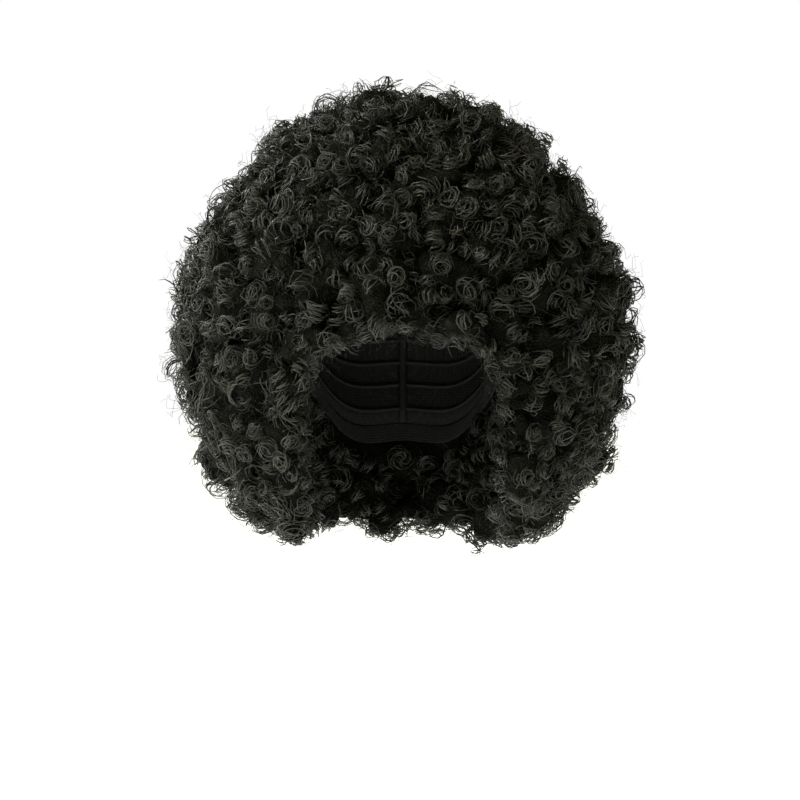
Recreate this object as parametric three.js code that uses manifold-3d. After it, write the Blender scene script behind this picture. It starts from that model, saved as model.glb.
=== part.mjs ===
// An afro wig of curled synthetic hair, in the form that it has on the wearer's head.
// Millimetres, +Z up, -Y towards the face opening. The origin is the inside of the cap at its top,
// where the top of the head sits. Left and right are the wearer's, so +X is left.
import * as THREE from "three";
import { ConvexHull } from "three/addons/math/ConvexHull.js";
import { mergeVertices } from "three/addons/utils/BufferGeometryUtils.js";
import Module from "manifold-3d";

const wasm = await Module();
wasm.setup();

// The head that the cap is made for
const headWidth = 154;
const headLength = 196;
const headHeight = 225; // top of the head down to the chin
const crownHeight = 97; // top of the head down to its widest level
const neckWidth = 138;
const neckLength = 142;

// The cap and the elastic band sewn to its edge
const netThickness = 1.6;
const bandThickness = 2.2;
const bandWidth = 12;
const seamGap = 0.3; // between pieces that are sewn together
const foreheadDepth = 64; // depths of the band's lower edge under the top of the head
const templeDepth = 84;
const earTabDepth = 122;
const earDepth = 104;
const napeDepth = 164;

// The hair, measured to the tips of its curls
const hairTop = 76; // above the top of the head
const hairSide = 83; // out from each side of the head
const hairFront = 42; // out from the forehead
const hairBack = 62; // out from the back of the head
const hairDrop = 245; // top of the head down to the lowest curls
const hairCentreDepth = 82; // depth of the level that the hair stands out from

// The face opening, as seen from the front
const faceWidth = 144;
const jawWidth = 132;
const fringeDepth = 90; // top of the head down to the fringe
const cheekDrop = 48; // fringe down to where the opening is widest
const openingReach = 78; // forehead back to where the opening's walls end in the hollow of the head

// The locks of curls
const lockSpacing = 38; // between the middles of neighbouring locks
const lockRise = 14; // from the folds between locks to their tops
const edgeLockWidth = 23; // the smaller locks along the face opening
const edgeLockRise = 7;

// Where the hair is parted into sections, each sewn on as rows of its own
const crownAngle = 46; // from upright
const lowerAngle = 104; // from upright
const frontAngle = 38; // round from the front
const backAngle = 128; // round from the front

const hairColour = 0x14130f;
const netColour = 0x0c0c0c;
const bandColour = 0x101010;

const degrees = Math.PI / 180;
const goldenAngle = Math.PI * (3 - Math.sqrt(5));
const aroundSteps = 36;
const capRows = 6;
const throatRows = 4;
const edgeLockSteps = 3; // points along each lock of the face opening
const seamSteps = 16; // sides of the round partings
const beyond = 900; // a distance well past the hair
const lockShift = 0.045; // how far a lock strays from an even spread, as a share of the hair's radius
const riseSpread = 0.35; // how much the locks differ in height
const wander = { x: 12.9, y: 7.7, z: 4.3, rise: 1.7 }; // turn from lock to lock of what makes them uneven

// The height of each place on a lock, as a share of its rise. Its ridge is the given way out from its middle.
const lockProfile = { middle: 0.95, ridge: 0.9, fold: 0.15, pit: -0.15, out: 0.58 };

// The depth of the band's lower edge, by how far round the head it is: 0 at the forehead, 180 at the nape
const edgeDepths = [
  { around: 0, depth: foreheadDepth },
  { around: 34, depth: foreheadDepth },
  { around: 56, depth: templeDepth },
  { around: 76, depth: earTabDepth },
  { around: 86, depth: earTabDepth },
  { around: 104, depth: earDepth },
  { around: 124, depth: (earDepth + napeDepth) / 2 },
  { around: 146, depth: napeDepth },
  { around: 180, depth: napeDepth },
];

// How full the hair is at an angle from upright, as shares of its reach to the side, the front and the back
const fullness = [
  { angle: 0, side: 1.0, front: 1.0, back: 1.0 },
  { angle: 18, side: 1.04, front: 1.02, back: 1.01 },
  { angle: 35, side: 0.995, front: 0.99, back: 0.99 },
  { angle: 52, side: 0.96, front: 0.97, back: 0.975 },
  { angle: 70, side: 0.98, front: 0.99, back: 0.99 },
  { angle: 88, side: 1.0, front: 1.0, back: 1.0 },
  { angle: 108, side: 1.015, front: 1.0, back: 1.015 },
  { angle: 128, side: 1.07, front: 1.02, back: 1.04 },
  { angle: 146, side: 1.085, front: 1.04, back: 1.05 },
  { angle: 164, side: 1.03, front: 1.03, back: 1.03 },
  { angle: 180, side: 1.0, front: 1.0, back: 1.0 },
];

// The sections of the hair, between angles from upright and angles round from the front
const upper = { top: crownAngle, bottom: lowerAngle };
const lower = { top: lowerAngle, bottom: 180 };
const hairSections = [
  { name: "crown_hair", top: 0, bottom: crownAngle, start: -180, end: 180 },
  { name: "front_hair", ...upper, start: -frontAngle, end: frontAngle },
  { name: "upper_side_hair_left", ...upper, start: frontAngle, end: backAngle },
  { name: "upper_side_hair_right", ...upper, start: -backAngle, end: -frontAngle },
  { name: "upper_back_hair", ...upper, start: backAngle, end: 360 - backAngle },
  { name: "lower_side_hair_left", ...lower, start: 0, end: backAngle },
  { name: "lower_side_hair_right", ...lower, start: -backAngle, end: 0 },
  { name: "nape_hair", ...lower, start: backAngle, end: 360 - backAngle },
];

// The value of one column of a table at x, along a smooth curve through its rows.
function readTable(table, key, column, x) {
  const last = table.length - 1;
  const next = Math.min(last, Math.max(1, table.findIndex((row) => row[key] >= x)));
  const width = table[next][key] - table[next - 1][key];
  const slope = (i) => {
    if (i === 0 || i === last) return 0;
    return (table[i + 1][column] - table[i - 1][column]) / (table[i + 1][key] - table[i - 1][key]);
  };
  const t = (x - table[next - 1][key]) / width;
  return (
    (2 * t ** 3 - 3 * t ** 2 + 1) * table[next - 1][column] +
    (t ** 3 - 2 * t ** 2 + t) * width * slope(next - 1) +
    (3 * t ** 2 - 2 * t ** 3) * table[next][column] +
    (t ** 3 - t ** 2) * width * slope(next)
  );
}

// The depth of the band's lower edge at an azimuth, the same on both sides.
function edgeDepth(azimuth) {
  const turn = THREE.MathUtils.euclideanModulo(azimuth / degrees, 360);
  return readTable(edgeDepths, "around", "depth", Math.min(turn, 360 - turn));
}

// How wide the head is at a depth, as a share of its full width.
function headShare(depth) {
  const half = depth < crownHeight ? crownHeight : headHeight - crownHeight;
  return Math.sqrt(Math.max(0, 1 - ((depth - crownHeight) / half) ** 2));
}

// A point of the head at a depth, grown outwards by an offset.
function headPoint(azimuth, depth, offset) {
  const share = headShare(depth);
  const reach = 1 + offset / crownHeight;
  const rise = depth < crownHeight ? (offset * (crownHeight - depth)) / crownHeight : 0;
  return new THREE.Vector3(
    (headWidth / 2) * share * reach * Math.sin(azimuth),
    (-headLength / 2) * share * reach * Math.cos(azimuth),
    rise - depth,
  );
}

// A point of the head or the neck at a depth, whichever is wider, grown outwards by an offset.
function throatPoint(azimuth, depth, offset) {
  const share = headShare(Math.min(headHeight, depth));
  return new THREE.Vector3(
    (Math.max((headWidth / 2) * share, neckWidth / 2) + offset) * Math.sin(azimuth),
    -(Math.max((headLength / 2) * share, neckLength / 2) + offset) * Math.cos(azimuth),
    -depth,
  );
}

function ringOf(pointAt) {
  return Array.from({ length: aroundSteps }, (_, step) => pointAt((step / aroundSteps) * 2 * Math.PI));
}

function geometryOf(points, triangles) {
  const geometry = new THREE.BufferGeometry().setFromPoints(points);
  geometry.setIndex(triangles);
  return geometry;
}

// The triangles between ring a and ring b, which hold as many points each.
function stripBetween(a, b, count) {
  return Array.from({ length: count }, (_, i) => {
    const j = (i + 1) % count;
    return [a + i, b + i, b + j, a + i, b + j, a + j];
  }).flat();
}

// A closed skin from one pole, down through rings, to another pole.
function skinOf(firstPole, rings, lastPole) {
  const count = rings[0].length;
  const last = 1 + (rings.length - 1) * count;
  const end = last + count;
  const triangles = [];
  for (let i = 0; i < count; i++) {
    const j = (i + 1) % count;
    triangles.push(0, 1 + i, 1 + j, end, last + j, last + i);
  }
  for (let r = 0; r < rings.length - 1; r++)
    triangles.push(...stripBetween(1 + r * count, 1 + (r + 1) * count, count));
  return geometryOf([firstPole, ...rings.flat(), lastPole], triangles);
}

// A closed band through rings, the last of which joins the first.
function bandOf(rings) {
  const count = rings[0].length;
  const triangles = rings.flatMap((_, r) =>
    stripBetween(r * count, ((r + 1) % rings.length) * count, count),
  );
  return geometryOf(rings.flat(), triangles);
}

function solidOf(geometry) {
  const bare = geometry.clone();
  bare.deleteAttribute("normal");
  bare.deleteAttribute("uv");
  const merged = mergeVertices(bare, 1e-4);
  return new wasm.Manifold(
    new wasm.Mesh({
      numProp: 3,
      vertProperties: new Float32Array(merged.attributes.position.array),
      triVerts: new Uint32Array(merged.index.array),
    }),
  );
}

// The geometry of a solid's largest body, without the crumbs that cuts leave.
function geometryFrom(solid) {
  const bodies = solid.decompose().sort((a, b) => b.volume() - a.volume());
  const mesh = bodies[0].getMesh();
  const geometry = new THREE.BufferGeometry();
  geometry.setAttribute("position", new THREE.BufferAttribute(mesh.vertProperties, 3));
  geometry.setIndex(new THREE.BufferAttribute(mesh.triVerts, 1));
  geometry.computeVertexNormals();
  return geometry;
}

// A ring of the cap, from row 0 at the top of the head to its last row at the seam with the band.
function capRing(row, offset) {
  return ringOf((azimuth) => {
    const turn = (row / capRows) * (Math.PI / 2);
    return headPoint(azimuth, (edgeDepth(azimuth) - bandWidth) * (1 - Math.cos(turn)), offset);
  });
}

function makeCap() {
  const outer = [];
  const inner = [];
  for (let row = 1; row <= capRows; row++) {
    outer.push(capRing(row, netThickness));
    inner.unshift(capRing(row, 0));
  }
  return skinOf(headPoint(0, 0, netThickness), [...outer, ...inner], headPoint(0, 0, 0));
}

// A ring of the band, at a height over its lower edge.
function bandRing(height, offset) {
  return ringOf((azimuth) => headPoint(azimuth, edgeDepth(azimuth) - height, offset));
}

function makeBand() {
  const top = bandWidth - seamGap;
  return bandOf([
    bandRing(top, bandThickness),
    bandRing(0, bandThickness),
    bandRing(0, 0),
    bandRing(top, 0),
  ]);
}

// What the cap, the band, the head and the neck take out of the hair. Under the band its rings grow
// further apart on the way down.
function makeHollow() {
  const rings = [];
  const bandOffset = bandThickness + seamGap;
  for (let row = 1; row < capRows; row++) rings.push(capRing(row, netThickness + seamGap));
  rings.push(bandRing(bandWidth, bandOffset), bandRing(0, bandOffset));
  for (let row = 1; row <= throatRows; row++)
    rings.push(
      ringOf((azimuth) => {
        const depth = edgeDepth(azimuth);
        return throatPoint(azimuth, depth + ((beyond - depth) * (row / throatRows) ** 2), bandOffset);
      }),
    );
  const top = headPoint(0, 0, netThickness + seamGap);
  return solidOf(skinOf(top, rings, new THREE.Vector3(0, 0, -beyond)));
}

// A point of the hair's outside in a direction, set back by an inset.
function hairPoint(direction, inset) {
  const polar = Math.acos(THREE.MathUtils.clamp(direction.z, -1, 1));
  const azimuth = Math.atan2(direction.x, -direction.y);
  const front = Math.cos(azimuth) > 0;
  const angle = polar / degrees;
  const sideShare = Math.sin(azimuth) ** 2;
  const full =
    readTable(fullness, "angle", "side", angle) * sideShare +
    readTable(fullness, "angle", front ? "front" : "back", angle) * (1 - sideShare);
  const across = headWidth / 2 + hairSide - inset;
  const along = headLength / 2 + (front ? hairFront : hairBack) - inset;
  const up = (direction.z > 0 ? hairTop + hairCentreDepth : hairDrop - hairCentreDepth) - inset;
  return new THREE.Vector3(
    across * full * direction.x,
    along * full * direction.y,
    up * full * direction.z - hairCentreDepth,
  );
}

// The middles of the locks, spread evenly over all directions and then each moved a little.
function lockMiddles() {
  const radius = hairCentreDepth + hairTop;
  const lockArea = lockSpacing ** 2 * Math.sin(60 * degrees);
  const count = Math.round((4 * Math.PI * radius ** 2) / lockArea);
  return Array.from({ length: count }, (_, i) => {
    const up = 1 - (2 * (i + 0.5)) / count;
    const out = Math.sqrt(1 - up * up);
    const turn = i * goldenAngle;
    const direction = new THREE.Vector3(out * Math.sin(turn), -out * Math.cos(turn), up);
    const shift = new THREE.Vector3(...["x", "y", "z"].map((axis) => Math.sin(i * wander[axis])));
    return direction.addScaledVector(shift, lockShift).normalize();
  });
}

// The corners of each face of the hull round a set of directions.
function hullFaces(directions) {
  return new ConvexHull().setFromPoints(directions).faces.map(({ edge }) => {
    return [edge.prev.head().point, edge.head().point, edge.next.head().point];
  });
}

// The hair's outside: each lock is a bun with a hollow at its tip, and folds run between the locks.
function makeMass() {
  const insets = new Map();
  const add = (direction, share, rise) => insets.set(direction.normalize(), lockRise - rise * share);
  const riseOf = (i) => lockRise * (1 + riseSpread * Math.sin(i * wander.rise));
  const rises = new Map(lockMiddles().map((middle, i) => [middle, riseOf(i)]));
  for (const [middle, rise] of rises) add(middle, lockProfile.middle, rise);
  const folds = new Set();
  for (const corners of hullFaces([...rises.keys()])) {
    const [a, b, c] = corners;
    const pit = b.clone().sub(a).cross(c.clone().sub(a)).normalize();
    add(pit, lockProfile.pit, lockRise);
    corners.forEach((middle, i) => {
      add(middle.clone().lerp(pit, lockProfile.out), lockProfile.ridge, rises.get(middle));
      const fold = middle.clone().add(corners[(i + 1) % corners.length]).normalize();
      const name = fold.toArray().map((value) => value.toFixed(6)).join();
      if (!folds.has(name)) add(fold, lockProfile.fold, lockRise);
      folds.add(name);
    });
  }
  const directions = [...insets.keys()];
  const index = new Map(directions.map((direction, i) => [direction, i]));
  const points = directions.map((direction) => hairPoint(direction, insets.get(direction)));
  return solidOf(geometryOf(points, hullFaces(directions).flat().map((d) => index.get(d))));
}

// The outline of the face opening, from its bottom at +X, over the fringe, to its bottom at -X.
function openingPath() {
  const cheekDepth = fringeDepth + cheekDrop;
  const lift = (hairDrop - cheekDepth) / 2;
  const at = (x, depth) => new THREE.Vector2(x, -depth);
  const side = (sign) => [
    [at((sign * jawWidth) / 2, hairDrop + edgeLockWidth), at((sign * jawWidth) / 2, hairDrop - lift)],
    [at((sign * faceWidth) / 2, cheekDepth + lift), at((sign * faceWidth) / 2, cheekDepth)],
    [at((sign * faceWidth) / 2, fringeDepth), at(0, fringeDepth)],
  ];
  const [leftJaw, leftCheek, leftFringe] = side(1);
  const [rightJaw, rightCheek, rightFringe] = side(-1);
  const path = new THREE.CurvePath();
  path.add(new THREE.CubicBezierCurve(...leftJaw, ...leftCheek));
  path.add(new THREE.QuadraticBezierCurve(leftCheek[1], ...leftFringe));
  path.add(new THREE.QuadraticBezierCurve(...rightFringe.reverse(), rightCheek[1]));
  path.add(new THREE.CubicBezierCurve(...rightCheek.reverse(), ...rightJaw.reverse()));
  return path;
}

// What the face opening takes out of the hair. The locks along its walls bulge inwards on every
// second row, and each such row starts part of a lock further along than the last.
function makeOpening() {
  const path = openingPath();
  const locks = Math.round(path.getLength() / edgeLockWidth);
  const steps = locks * edgeLockSteps;
  const front = -headLength / 2 - hairFront;
  const back = openingReach - headLength / 2;
  const rowCount = Math.round((back - front) / (edgeLockWidth / 2));
  const rings = Array.from({ length: rowCount + 1 }, (_, row) => {
    const y = front + ((back - front) * row) / rowCount;
    const start = (row % 4) / 4;
    return Array.from({ length: steps + 1 }, (__, i) => {
      const point = path.getPointAt(i / steps);
      const tangent = path.getTangentAt(i / steps);
      const swell = row % 2 ? Math.abs(Math.sin((i / edgeLockSteps + start) * Math.PI)) : 0;
      const inward = edgeLockRise * (swell - 1 / 2);
      return new THREE.Vector3(point.x - tangent.y * inward, y, point.y + tangent.x * inward);
    });
  });
  rings.unshift(rings[0].map((point) => point.clone().setY(-beyond)));
  const centre = (y) => new THREE.Vector3(0, y, -fringeDepth - cheekDrop);
  return solidOf(skinOf(centre(-beyond), rings, centre(back)));
}

// A place in a plane at an angle and a reach, the angle turned from its second axis to its first.
function turned(angle, reach) {
  return new THREE.Vector2(Math.sin(angle * degrees), Math.cos(angle * degrees)).multiplyScalar(reach);
}

// The corners of the space between two angles, with half a seam gap taken off along both of its edges.
function wedgeCorners(from, to, firstAngle, lastAngle) {
  const setBack = seamGap / 2 / Math.sin(((to - from) / 2) * degrees);
  const corner = turned((from + to) / 2, setBack);
  return [corner, turned(firstAngle, beyond).add(corner), turned(lastAngle, beyond).add(corner)];
}

// The space of one section of the hair: what its two cones hold, cut by upright planes on each side.
function sectionSolid({ top, bottom, start, end }) {
  const from = top === 0 ? -bottom : top;
  const to = bottom === 180 ? 360 - top : bottom;
  const corners = wedgeCorners(from, to, bottom, top);
  const profile = [...corners, corners[0]].slice(bottom === 180 ? 1 : 0, top === 0 ? 3 : 4);
  const cones = new THREE.LatheGeometry(profile, seamSteps)
    .rotateX(90 * degrees)
    .translate(0, 0, -hairCentreDepth);
  if (end - start === 360) return solidOf(cones);
  const plan = wedgeCorners(start, end, start, end).map(({ x, y }) => new THREE.Vector2(x, -y));
  const wedge = new THREE.ExtrudeGeometry(new THREE.Shape(plan), { depth: 2 * beyond, bevelEnabled: false })
    .translate(0, 0, -beyond);
  return solidOf(cones).intersect(solidOf(wedge));
}

const hairMaterial = new THREE.MeshStandardMaterial({ color: hairColour, roughness: 0.62 });
const netMaterial = new THREE.MeshStandardMaterial({ color: netColour, roughness: 0.85 });
const bandMaterial = new THREE.MeshStandardMaterial({ color: bandColour, roughness: 0.75 });

const wig = new THREE.Group();

function addPiece(name, solid, material) {
  const piece = new THREE.Mesh(geometryFrom(solid), material);
  piece.name = name;
  wig.add(piece);
}

addPiece("cap", solidOf(makeCap()), netMaterial);
addPiece("edge_band", solidOf(makeBand()), bandMaterial);
const hair = makeMass().subtract(makeHollow()).subtract(makeOpening());
for (const section of hairSections)
  addPiece(section.name, hair.intersect(sectionSolid(section)), hairMaterial);

export default wig;
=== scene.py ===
import math
import bmesh
import bpy
import numpy as np
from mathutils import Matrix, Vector, noise
from mathutils.bvhtree import BVHTree
from mathutils.kdtree import KDTree


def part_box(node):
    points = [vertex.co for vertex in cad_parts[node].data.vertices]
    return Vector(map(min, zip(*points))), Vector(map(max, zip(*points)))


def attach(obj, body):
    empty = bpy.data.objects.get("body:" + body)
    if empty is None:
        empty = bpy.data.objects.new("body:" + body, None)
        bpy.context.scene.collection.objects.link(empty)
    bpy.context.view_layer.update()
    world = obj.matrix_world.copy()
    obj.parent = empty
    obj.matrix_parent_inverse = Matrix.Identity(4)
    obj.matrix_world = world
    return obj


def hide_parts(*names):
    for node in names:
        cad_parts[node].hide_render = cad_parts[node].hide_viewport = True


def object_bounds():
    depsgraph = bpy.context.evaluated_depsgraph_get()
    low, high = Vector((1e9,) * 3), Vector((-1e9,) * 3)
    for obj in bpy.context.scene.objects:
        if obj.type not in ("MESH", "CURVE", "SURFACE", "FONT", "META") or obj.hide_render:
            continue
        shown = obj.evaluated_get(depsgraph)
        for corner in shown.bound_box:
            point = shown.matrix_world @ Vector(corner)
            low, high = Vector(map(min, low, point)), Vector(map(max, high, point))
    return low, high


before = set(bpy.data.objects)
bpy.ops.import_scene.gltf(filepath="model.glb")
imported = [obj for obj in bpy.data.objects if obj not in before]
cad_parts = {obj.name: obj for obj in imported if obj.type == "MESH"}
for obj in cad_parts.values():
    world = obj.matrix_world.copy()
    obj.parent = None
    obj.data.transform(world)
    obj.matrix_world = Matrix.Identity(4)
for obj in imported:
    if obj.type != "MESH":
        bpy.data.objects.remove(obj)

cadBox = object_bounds()
scene = bpy.context.scene
millimetre = 0.001
rng = np.random.default_rng(41)
noise.seed_set(41)

hairNodes = [
    "crown_hair", "front_hair", "upper_side_hair_left", "upper_side_hair_right",
    "upper_back_hair", "lower_side_hair_left", "lower_side_hair_right", "nape_hair",
]
hairCentre = (np.array(cadBox[0]) + np.array(cadBox[1])) / 2
capLow, capHigh = (np.array(corner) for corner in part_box("cap"))
capCentre = (capLow + capHigh) / 2


# Materials

def newGroup(name, inputs, outputs):
    group = bpy.data.node_groups.new(name, "ShaderNodeTree")
    for socketName, socketType, value in inputs:
        socket = group.interface.new_socket(socketName, in_out="INPUT", socket_type=socketType)
        if value is not None:
            socket.default_value = value
    for socketName, socketType in outputs:
        group.interface.new_socket(socketName, in_out="OUTPUT", socket_type=socketType)
    return group, group.nodes.new("NodeGroupInput"), group.nodes.new("NodeGroupOutput")


def newMaterial(name):
    material = bpy.data.materials.new(name)
    material.use_nodes = True
    return material, material.node_tree, material.node_tree.nodes["Principled BSDF"]


def feed(tree, socket, value):
    # value is an output to link, a number or a colour
    if isinstance(value, bpy.types.NodeSocket):
        tree.links.new(value, socket)
    elif isinstance(value, tuple):
        socket.default_value = (*value, 1)
    else:
        socket.default_value = value


def mathNode(tree, operation, first, second):
    node = tree.nodes.new("ShaderNodeMath")
    node.operation = operation
    feed(tree, node.inputs[0], first)
    feed(tree, node.inputs[1], second)
    return node.outputs[0]


def mapRange(tree, value, source, target):
    node = tree.nodes.new("ShaderNodeMapRange")
    feed(tree, node.inputs["Value"], value)
    for name, limits in (("From", source), ("To", target)):
        node.inputs[name + " Min"].default_value, node.inputs[name + " Max"].default_value = limits
    return node.outputs["Result"]


def mixColours(tree, factor, first, second):
    node = tree.nodes.new("ShaderNodeMix")
    node.data_type = "RGBA"
    feed(tree, node.inputs["Factor"], factor)
    feed(tree, node.inputs["A"], first)
    feed(tree, node.inputs["B"], second)
    return node.outputs["Result"]


def noiseNode(tree, place, scale, detail):
    node = tree.nodes.new("ShaderNodeTexNoise")
    feed(tree, node.inputs["Vector"], place)
    feed(tree, node.inputs["Scale"], scale)
    feed(tree, node.inputs["Detail"], detail)
    return node


def attributeNode(tree, name):
    node = tree.nodes.new("ShaderNodeAttribute")
    node.attribute_name = name
    return node


toneLook = {
    "patchNoise": (0.36, 0.64),  # this range of the patches' noise
    "patchShare": (0.1, 1.0),    # becomes this share of the tone
    "lightest": 2.4,             # how far bright streaks go towards the light colour
    "roughness": (0.62, 0.38),   # between the fibres and on them
}


def hairToneGroup():
    # black fibre that varies from curl to curl and in patches, with a few brown strands; tone also carries
    # painted shade
    group, source, result = newGroup(
        "hair tone",
        [("Dark", "NodeSocketColor", None), ("Light", "NodeSocketColor", None),
         ("Brown", "NodeSocketColor", None), ("Patch Scale", "NodeSocketFloat", 30.0),
         ("Streak", "NodeSocketFloat", 0.5)],
        [("Color", "NodeSocketColor"), ("Roughness", "NodeSocketFloat")],
    )
    given = source.outputs
    place = group.nodes.new("ShaderNodeTexCoord").outputs["Object"]
    patches = noiseNode(group, place, given["Patch Scale"], 3.0).outputs["Fac"]
    patches = mapRange(group, patches, toneLook["patchNoise"], toneLook["patchShare"])
    blotch = mathNode(group, "MULTIPLY", attributeNode(group, "tone").outputs["Fac"], patches)
    streak = mathNode(group, "MULTIPLY", given["Streak"], toneLook["lightest"])
    share = mathNode(group, "MULTIPLY", blotch, streak)
    plain = mixColours(group, share, given["Dark"], given["Light"])
    colour = mixColours(group, attributeNode(group, "warm").outputs["Fac"], plain, given["Brown"])
    roughness = mapRange(group, given["Streak"], (0.0, 1.0), toneLook["roughness"])
    group.links.new(colour, result.inputs["Color"])
    group.links.new(roughness, result.inputs["Roughness"])
    return group


streakLook = {"noise": (0.24, 0.76), "along": 0.4, "detail": 2.0}


def fibreStreakGroup():
    # single fibres side by side in a strand, from its attribute fibre: across, along and a number of its own
    group, source, result = newGroup(
        "fibre streaks",
        [("Fibres Per Millimetre", "NodeSocketFloat", 2.6)],
        [("Streak", "NodeSocketFloat")],
    )
    parts = group.nodes.new("ShaderNodeSeparateXYZ")
    place = group.nodes.new("ShaderNodeCombineXYZ")
    group.links.new(attributeNode(group, "fibre").outputs["Vector"], parts.inputs["Vector"])
    across = mathNode(group, "MULTIPLY", parts.outputs["X"], source.outputs["Fibres Per Millimetre"])
    group.links.new(across, place.inputs["X"])
    group.links.new(mathNode(group, "MULTIPLY", parts.outputs["Y"], streakLook["along"]), place.inputs["Y"])
    group.links.new(parts.outputs["Z"], place.inputs["Z"])
    streaks = noiseNode(group, place.outputs["Vector"], 1.0, streakLook["detail"])
    streak = mapRange(group, streaks.outputs["Fac"], streakLook["noise"], (0.0, 1.0))
    group.links.new(streak, result.inputs["Streak"])
    return group


# darkest lowers the rings' painted shade all over
reliefLook = {"bendScale": 140.0, "bend": 0.011, "fineScale": 900.0, "ringHeight": 0.3, "dome": 0.9,
              "darkest": 0.35}


def curlReliefGroup():
    # rings round scattered middles, bent and broken by noise, as curls seen deep in the hair; Shade is painted
    # light and shade, lighter on the rings' ridges
    group, source, result = newGroup(
        "curl relief",
        [("Curl Scale", "NodeSocketFloat", 80.0), ("Rings", "NodeSocketFloat", 26.0)],
        [("Height", "NodeSocketFloat"), ("Shade", "NodeSocketFloat")],
    )
    nodes, links = group.nodes, group.links
    place = nodes.new("ShaderNodeTexCoord").outputs["Object"]
    bend = noiseNode(group, place, reliefLook["bendScale"], 3.0)
    bent = nodes.new("ShaderNodeMix")
    bent.data_type = "VECTOR"
    bent.inputs["Factor"].default_value = reliefLook["bend"]
    links.new(place, bent.inputs["A"])
    links.new(bend.outputs["Color"], bent.inputs["B"])
    cells = nodes.new("ShaderNodeTexVoronoi")
    links.new(bent.outputs["Result"], cells.inputs["Vector"])
    links.new(source.outputs["Curl Scale"], cells.inputs["Scale"])
    turns = mathNode(group, "MULTIPLY", cells.outputs["Distance"], source.outputs["Rings"])
    rings = mathNode(group, "MULTIPLY", mathNode(group, "SINE", turns, 0.0), reliefLook["ringHeight"])
    ringed = mathNode(group, "ADD", rings, noiseNode(group, place, reliefLook["fineScale"], 2.0).outputs["Fac"])
    fall = mathNode(group, "MULTIPLY", cells.outputs["Distance"], reliefLook["dome"])
    links.new(mathNode(group, "SUBTRACT", ringed, fall), result.inputs["Height"])
    links.new(mathNode(group, "SUBTRACT", ringed, reliefLook["darkest"]), result.inputs["Shade"])
    return group


hairTone = hairToneGroup()
fibreStreaks = fibreStreakGroup()
curlRelief = curlReliefGroup()


def addGroup(tree, group, values):
    node = tree.nodes.new("ShaderNodeGroup")
    node.node_tree = group
    for name, value in values.items():
        feed(tree, node.inputs[name], value)
    return node


def addBump(tree, shader, height, strength, depth):
    bump = tree.nodes.new("ShaderNodeBump")
    bump.inputs["Strength"].default_value = strength
    bump.inputs["Distance"].default_value = depth
    tree.links.new(height, bump.inputs["Height"])
    tree.links.new(bump.outputs["Normal"], shader.inputs["Normal"])


hairColours = {
    "dark": (0.0034, 0.0038, 0.001), "light": (0.028, 0.0294, 0.0195), "brown": (0.05, 0.02, 0.009),
    # the inner hair's colours are far darker than the curls': painted shade deep between the curls
    "innerDark": (0.0006, 0.0007, 0.0002), "innerLight": (0.0055, 0.0059, 0.0026),
    "sheenTint": (0.97, 1.0, 0.9, 1.0),
}


curlLook = {"fibresPerMillimetre": 1.8, "patchScale": 34.0, "bump": 0.45, "bumpDepth": 0.35 * millimetre,
            "ior": 1.5, "specular": 0.55}
innerLook = {"curlScale": 85.0, "rings": 30.0, "patchScale": 60.0, "bump": 0.9, "bumpDepth": 1.6 * millimetre,
             "specular": 0.07}


def curlMaterial():
    material, tree, shader = newMaterial("black curled fibre")
    streaks = addGroup(tree, fibreStreaks, {"Fibres Per Millimetre": curlLook["fibresPerMillimetre"]})
    tone = addGroup(tree, hairTone, {
        "Dark": hairColours["dark"], "Light": hairColours["light"], "Brown": hairColours["brown"],
        "Patch Scale": curlLook["patchScale"], "Streak": streaks.outputs["Streak"],
    })
    tree.links.new(tone.outputs["Color"], shader.inputs["Base Color"])
    tree.links.new(tone.outputs["Roughness"], shader.inputs["Roughness"])
    addBump(tree, shader, streaks.outputs["Streak"], curlLook["bump"], curlLook["bumpDepth"])
    shader.inputs["IOR"].default_value = curlLook["ior"]
    shader.inputs["Specular IOR Level"].default_value = curlLook["specular"]
    shader.inputs["Specular Tint"].default_value = hairColours["sheenTint"]
    return material


def innerHairMaterial():
    # its dark colours are painted shade deep between the curls, with the rings' painted shade over them
    material, tree, shader = newMaterial("dark inner hair")
    relief = addGroup(tree, curlRelief, {"Curl Scale": innerLook["curlScale"], "Rings": innerLook["rings"]})
    tone = addGroup(tree, hairTone, {
        "Dark": hairColours["innerDark"], "Light": hairColours["innerLight"],
        "Brown": hairColours["innerLight"],
        "Patch Scale": innerLook["patchScale"], "Streak": relief.outputs["Shade"],
    })
    tree.links.new(tone.outputs["Color"], shader.inputs["Base Color"])
    tree.links.new(tone.outputs["Roughness"], shader.inputs["Roughness"])
    addBump(tree, shader, relief.outputs["Height"], innerLook["bump"], innerLook["bumpDepth"])
    shader.inputs["Specular IOR Level"].default_value = innerLook["specular"]
    shader.inputs["Specular Tint"].default_value = hairColours["sheenTint"]
    return material


curlFinish = curlMaterial()
innerHairFinish = innerHairMaterial()


# Meshes from arrays

def meshFromArrays(name, points, faceCorners, faceSizes, values):
    mesh = bpy.data.meshes.new(name)
    mesh.vertices.add(len(points))
    mesh.vertices.foreach_set("co", np.ascontiguousarray(points, np.float32).ravel())
    mesh.loops.add(len(faceCorners))
    mesh.loops.foreach_set("vertex_index", np.ascontiguousarray(faceCorners, np.int32))
    mesh.polygons.add(len(faceSizes))
    starts = np.concatenate([[0], np.cumsum(faceSizes)[:-1]]).astype(np.int32)
    mesh.polygons.foreach_set("loop_start", starts)
    mesh.update(calc_edges=True)
    mesh.shade_smooth()
    for key, data in values.items():
        isVector = data.ndim == 2
        layer = mesh.attributes.new(key, "FLOAT_VECTOR" if isVector else "FLOAT", "POINT")
        layer.data.foreach_set("vector" if isVector else "value", data.astype(np.float32).ravel())
    return mesh


def placePiece(name, mesh, material, nodes):
    piece = bpy.data.objects.new(name, mesh)
    scene.collection.objects.link(piece)
    mesh.materials.clear()
    mesh.materials.append(material)
    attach(piece, "root")
    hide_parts(*nodes)
    return piece


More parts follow.
